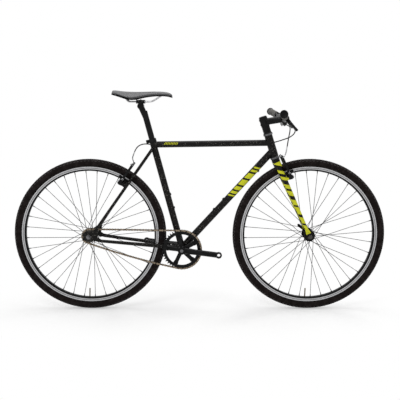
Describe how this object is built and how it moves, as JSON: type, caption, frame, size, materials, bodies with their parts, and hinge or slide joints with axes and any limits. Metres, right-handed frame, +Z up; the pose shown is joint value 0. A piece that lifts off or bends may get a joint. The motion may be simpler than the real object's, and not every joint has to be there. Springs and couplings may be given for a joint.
{
  "type": "fixed gear bike",
  "caption": "Single speed bicycle with a steel diamond frame, flat bar, wire wheels, rim brakes, chain drive and padded saddle, less its pedals.",
  "frame": {"origin": "on the ground midway between the two axles, which is the middle of the overall length and width", "axes": "+X forward, +Y to the rider's left, +Z up; the drive side is -Y"},
  "size_m": [1.7099, 0.5884, 1.0119],
  "materials": {
    "frame_paint": "gloss black with fine pale flecks",
    "black_alloy": "black anodised",
    "silver_alloy": "satin",
    "steel": "satin",
    "dark_steel": "blackened",
    "chain_steel": "brown oiled",
    "tyre_rubber": "matt",
    "tube_rubber": "matt",
    "pad_rubber": "matt",
    "grip_rubber": "satin",
    "housing_plastic": "satin",
    "shell_plastic": "matt",
    "saddle_skin": "satin"
  },
  "bodies": {
    "frame": {"head_tube": "frame_paint", "top_tube": "frame_paint", "down_tube": "frame_paint", "seat_tube": "frame_paint", "bottom_bracket_shell": "frame_paint", "chainstays": "frame_paint", "seatstays": "frame_paint", "track_ends": "frame_paint", "frame_bosses": "frame_paint", "seat_collar": "black_alloy", "headset_cups": "silver_alloy", "bottom_bracket": "steel", "rear_axle": "steel", "chain": "chain_steel", "rear_brake_front_housing": "housing_plastic", "rear_brake_cable": "housing_plastic"},
    "steering": {"steerer_tube": "steel", "fork_crown": "frame_paint", "fork_blades": "frame_paint", "headset_spacers": "black_alloy", "stem": "black_alloy", "stem_faceplate": "black_alloy", "headset_top_cap": "black_alloy", "handlebar": "black_alloy", "grips": "grip_rubber", "brake_lever_brackets": "black_alloy", "front_axle": "steel", "front_brake_cable": "housing_plastic"},
    "front_wheel": {"front_tyre": "tyre_rubber", "front_inner_tube": "tube_rubber", "front_rim": "black_alloy", "front_spokes": "dark_steel", "front_hub": "black_alloy"},
    "rear_wheel": {"rear_tyre": "tyre_rubber", "rear_inner_tube": "tube_rubber", "rear_rim": "black_alloy", "rear_spokes": "dark_steel", "rear_hub": "black_alloy", "rear_cog": "steel"},
    "crankset": {"crank_spindle": "steel", "right_crank": "black_alloy", "left_crank": "black_alloy", "chainring": "black_alloy", "crank_bolts": "steel"},
    "right_lever": {"right_brake_lever": "black_alloy"},
    "left_lever": {"left_brake_lever": "black_alloy"},
    "front_right_arm": {"front_brake_arm_right": "black_alloy", "front_brake_pad_right": "pad_rubber"},
    "front_left_arm": {"front_brake_arm_left": "black_alloy", "front_brake_pad_left": "pad_rubber"},
    "rear_right_arm": {"rear_brake_arm_right": "black_alloy", "rear_brake_pad_right": "pad_rubber"},
    "rear_left_arm": {"rear_brake_arm_left": "black_alloy", "rear_brake_pad_left": "pad_rubber"},
    "quick_release": {"quick_release_lever": "silver_alloy"},
    "seat": {"seatpost": "black_alloy", "saddle_clamp": "black_alloy", "saddle_rails": "steel", "saddle_shell": "shell_plastic", "saddle_cover": "saddle_skin"}
  },
  "joints": [
    {"name": "steering_turn", "type": "hinge", "parent": "frame", "child": "steering", "pos_m": [0.343, 0, 0.71198], "axis": [-0.3007, 0, 0.9537], "range_deg": [-70, 70], "deforming": ["rear_brake_front_housing"]},
    {"name": "front_wheel_spin", "type": "hinge", "parent": "steering", "child": "front_wheel", "pos_m": [0.504, 0, 0.351], "axis": [0, 1, 0], "continuous": true},
    {"name": "rear_wheel_spin", "type": "hinge", "parent": "frame", "child": "rear_wheel", "pos_m": [-0.504, 0, 0.351], "axis": [0, 1, 0], "continuous": true, "deforming": ["chain"]},
    {"name": "crank_spin", "type": "hinge", "parent": "frame", "child": "crankset", "pos_m": [-0.08076, 0, 0.288], "axis": [0, 1, 0], "continuous": true, "deforming": ["chain"]},
    {"name": "right_lever_pull", "type": "hinge", "parent": "steering", "child": "right_lever", "pos_m": [0.38279, -0.15795, 0.87881], "axis": [-0.7654, 0.0404, -0.6423], "range_deg": [0, 25], "stiffness_Nm_per_rad": 0.6, "springref_deg": -14.32, "deforming": ["rear_brake_cable", "rear_brake_front_housing"]},
    {"name": "left_lever_pull", "type": "hinge", "parent": "steering", "child": "left_lever", "pos_m": [0.38279, 0.15795, 0.87881], "axis": [0.7654, 0.0404, 0.6423], "range_deg": [0, 25], "stiffness_Nm_per_rad": 0.6, "springref_deg": -14.32, "deforming": ["front_brake_cable"]},
    {"name": "front_right_arm_close", "type": "hinge", "parent": "steering", "child": "front_right_arm", "pos_m": [0.38603, -0.04, 0.60934], "axis": [-0.9096, 0, -0.4154], "range_deg": [0, 2.5], "deforming": ["front_brake_cable"]},
    {"name": "front_left_arm_close", "type": "hinge", "parent": "steering", "child": "front_left_arm", "pos_m": [0.38603, 0.04, 0.60934], "axis": [0.9096, 0, 0.4154], "range_deg": [0, 2.5], "deforming": ["front_brake_cable"]},
    {"name": "rear_right_arm_close", "type": "hinge", "parent": "frame", "child": "rear_right_arm", "pos_m": [-0.33348, -0.04, 0.57826], "axis": [-0.8168, 0, 0.577], "range_deg": [0, 2.5], "deforming": ["rear_brake_cable"]},
    {"name": "rear_left_arm_close", "type": "hinge", "parent": "frame", "child": "rear_left_arm", "pos_m": [-0.33348, 0.04, 0.57826], "axis": [0.8168, 0, -0.577], "range_deg": [0, 2.5], "deforming": ["rear_brake_cable"]},
    {"name": "quick_release_open", "type": "hinge", "parent": "steering", "child": "quick_release", "pos_m": [0.504, 0.0738, 0.351], "axis": [-0.6561, 0, -0.7547], "range_deg": [0, 160]},
    {"name": "seat_height", "type": "slide", "parent": "frame", "child": "seat", "axis": [-0.2588, 0, 0.9659], "range_m": [-0.08, 0.04]}
  ],
  "couplings": [
    {"joint": "crank_spin", "follows": "rear_wheel_spin", "ratio": 0.36364},
    {"joint": "rear_right_arm_close", "follows": "right_lever_pull", "ratio": 0.1},
    {"joint": "rear_left_arm_close", "follows": "right_lever_pull", "ratio": 0.1},
    {"joint": "front_right_arm_close", "follows": "left_lever_pull", "ratio": 0.1},
    {"joint": "front_left_arm_close", "follows": "left_lever_pull", "ratio": 0.1}
  ]
}
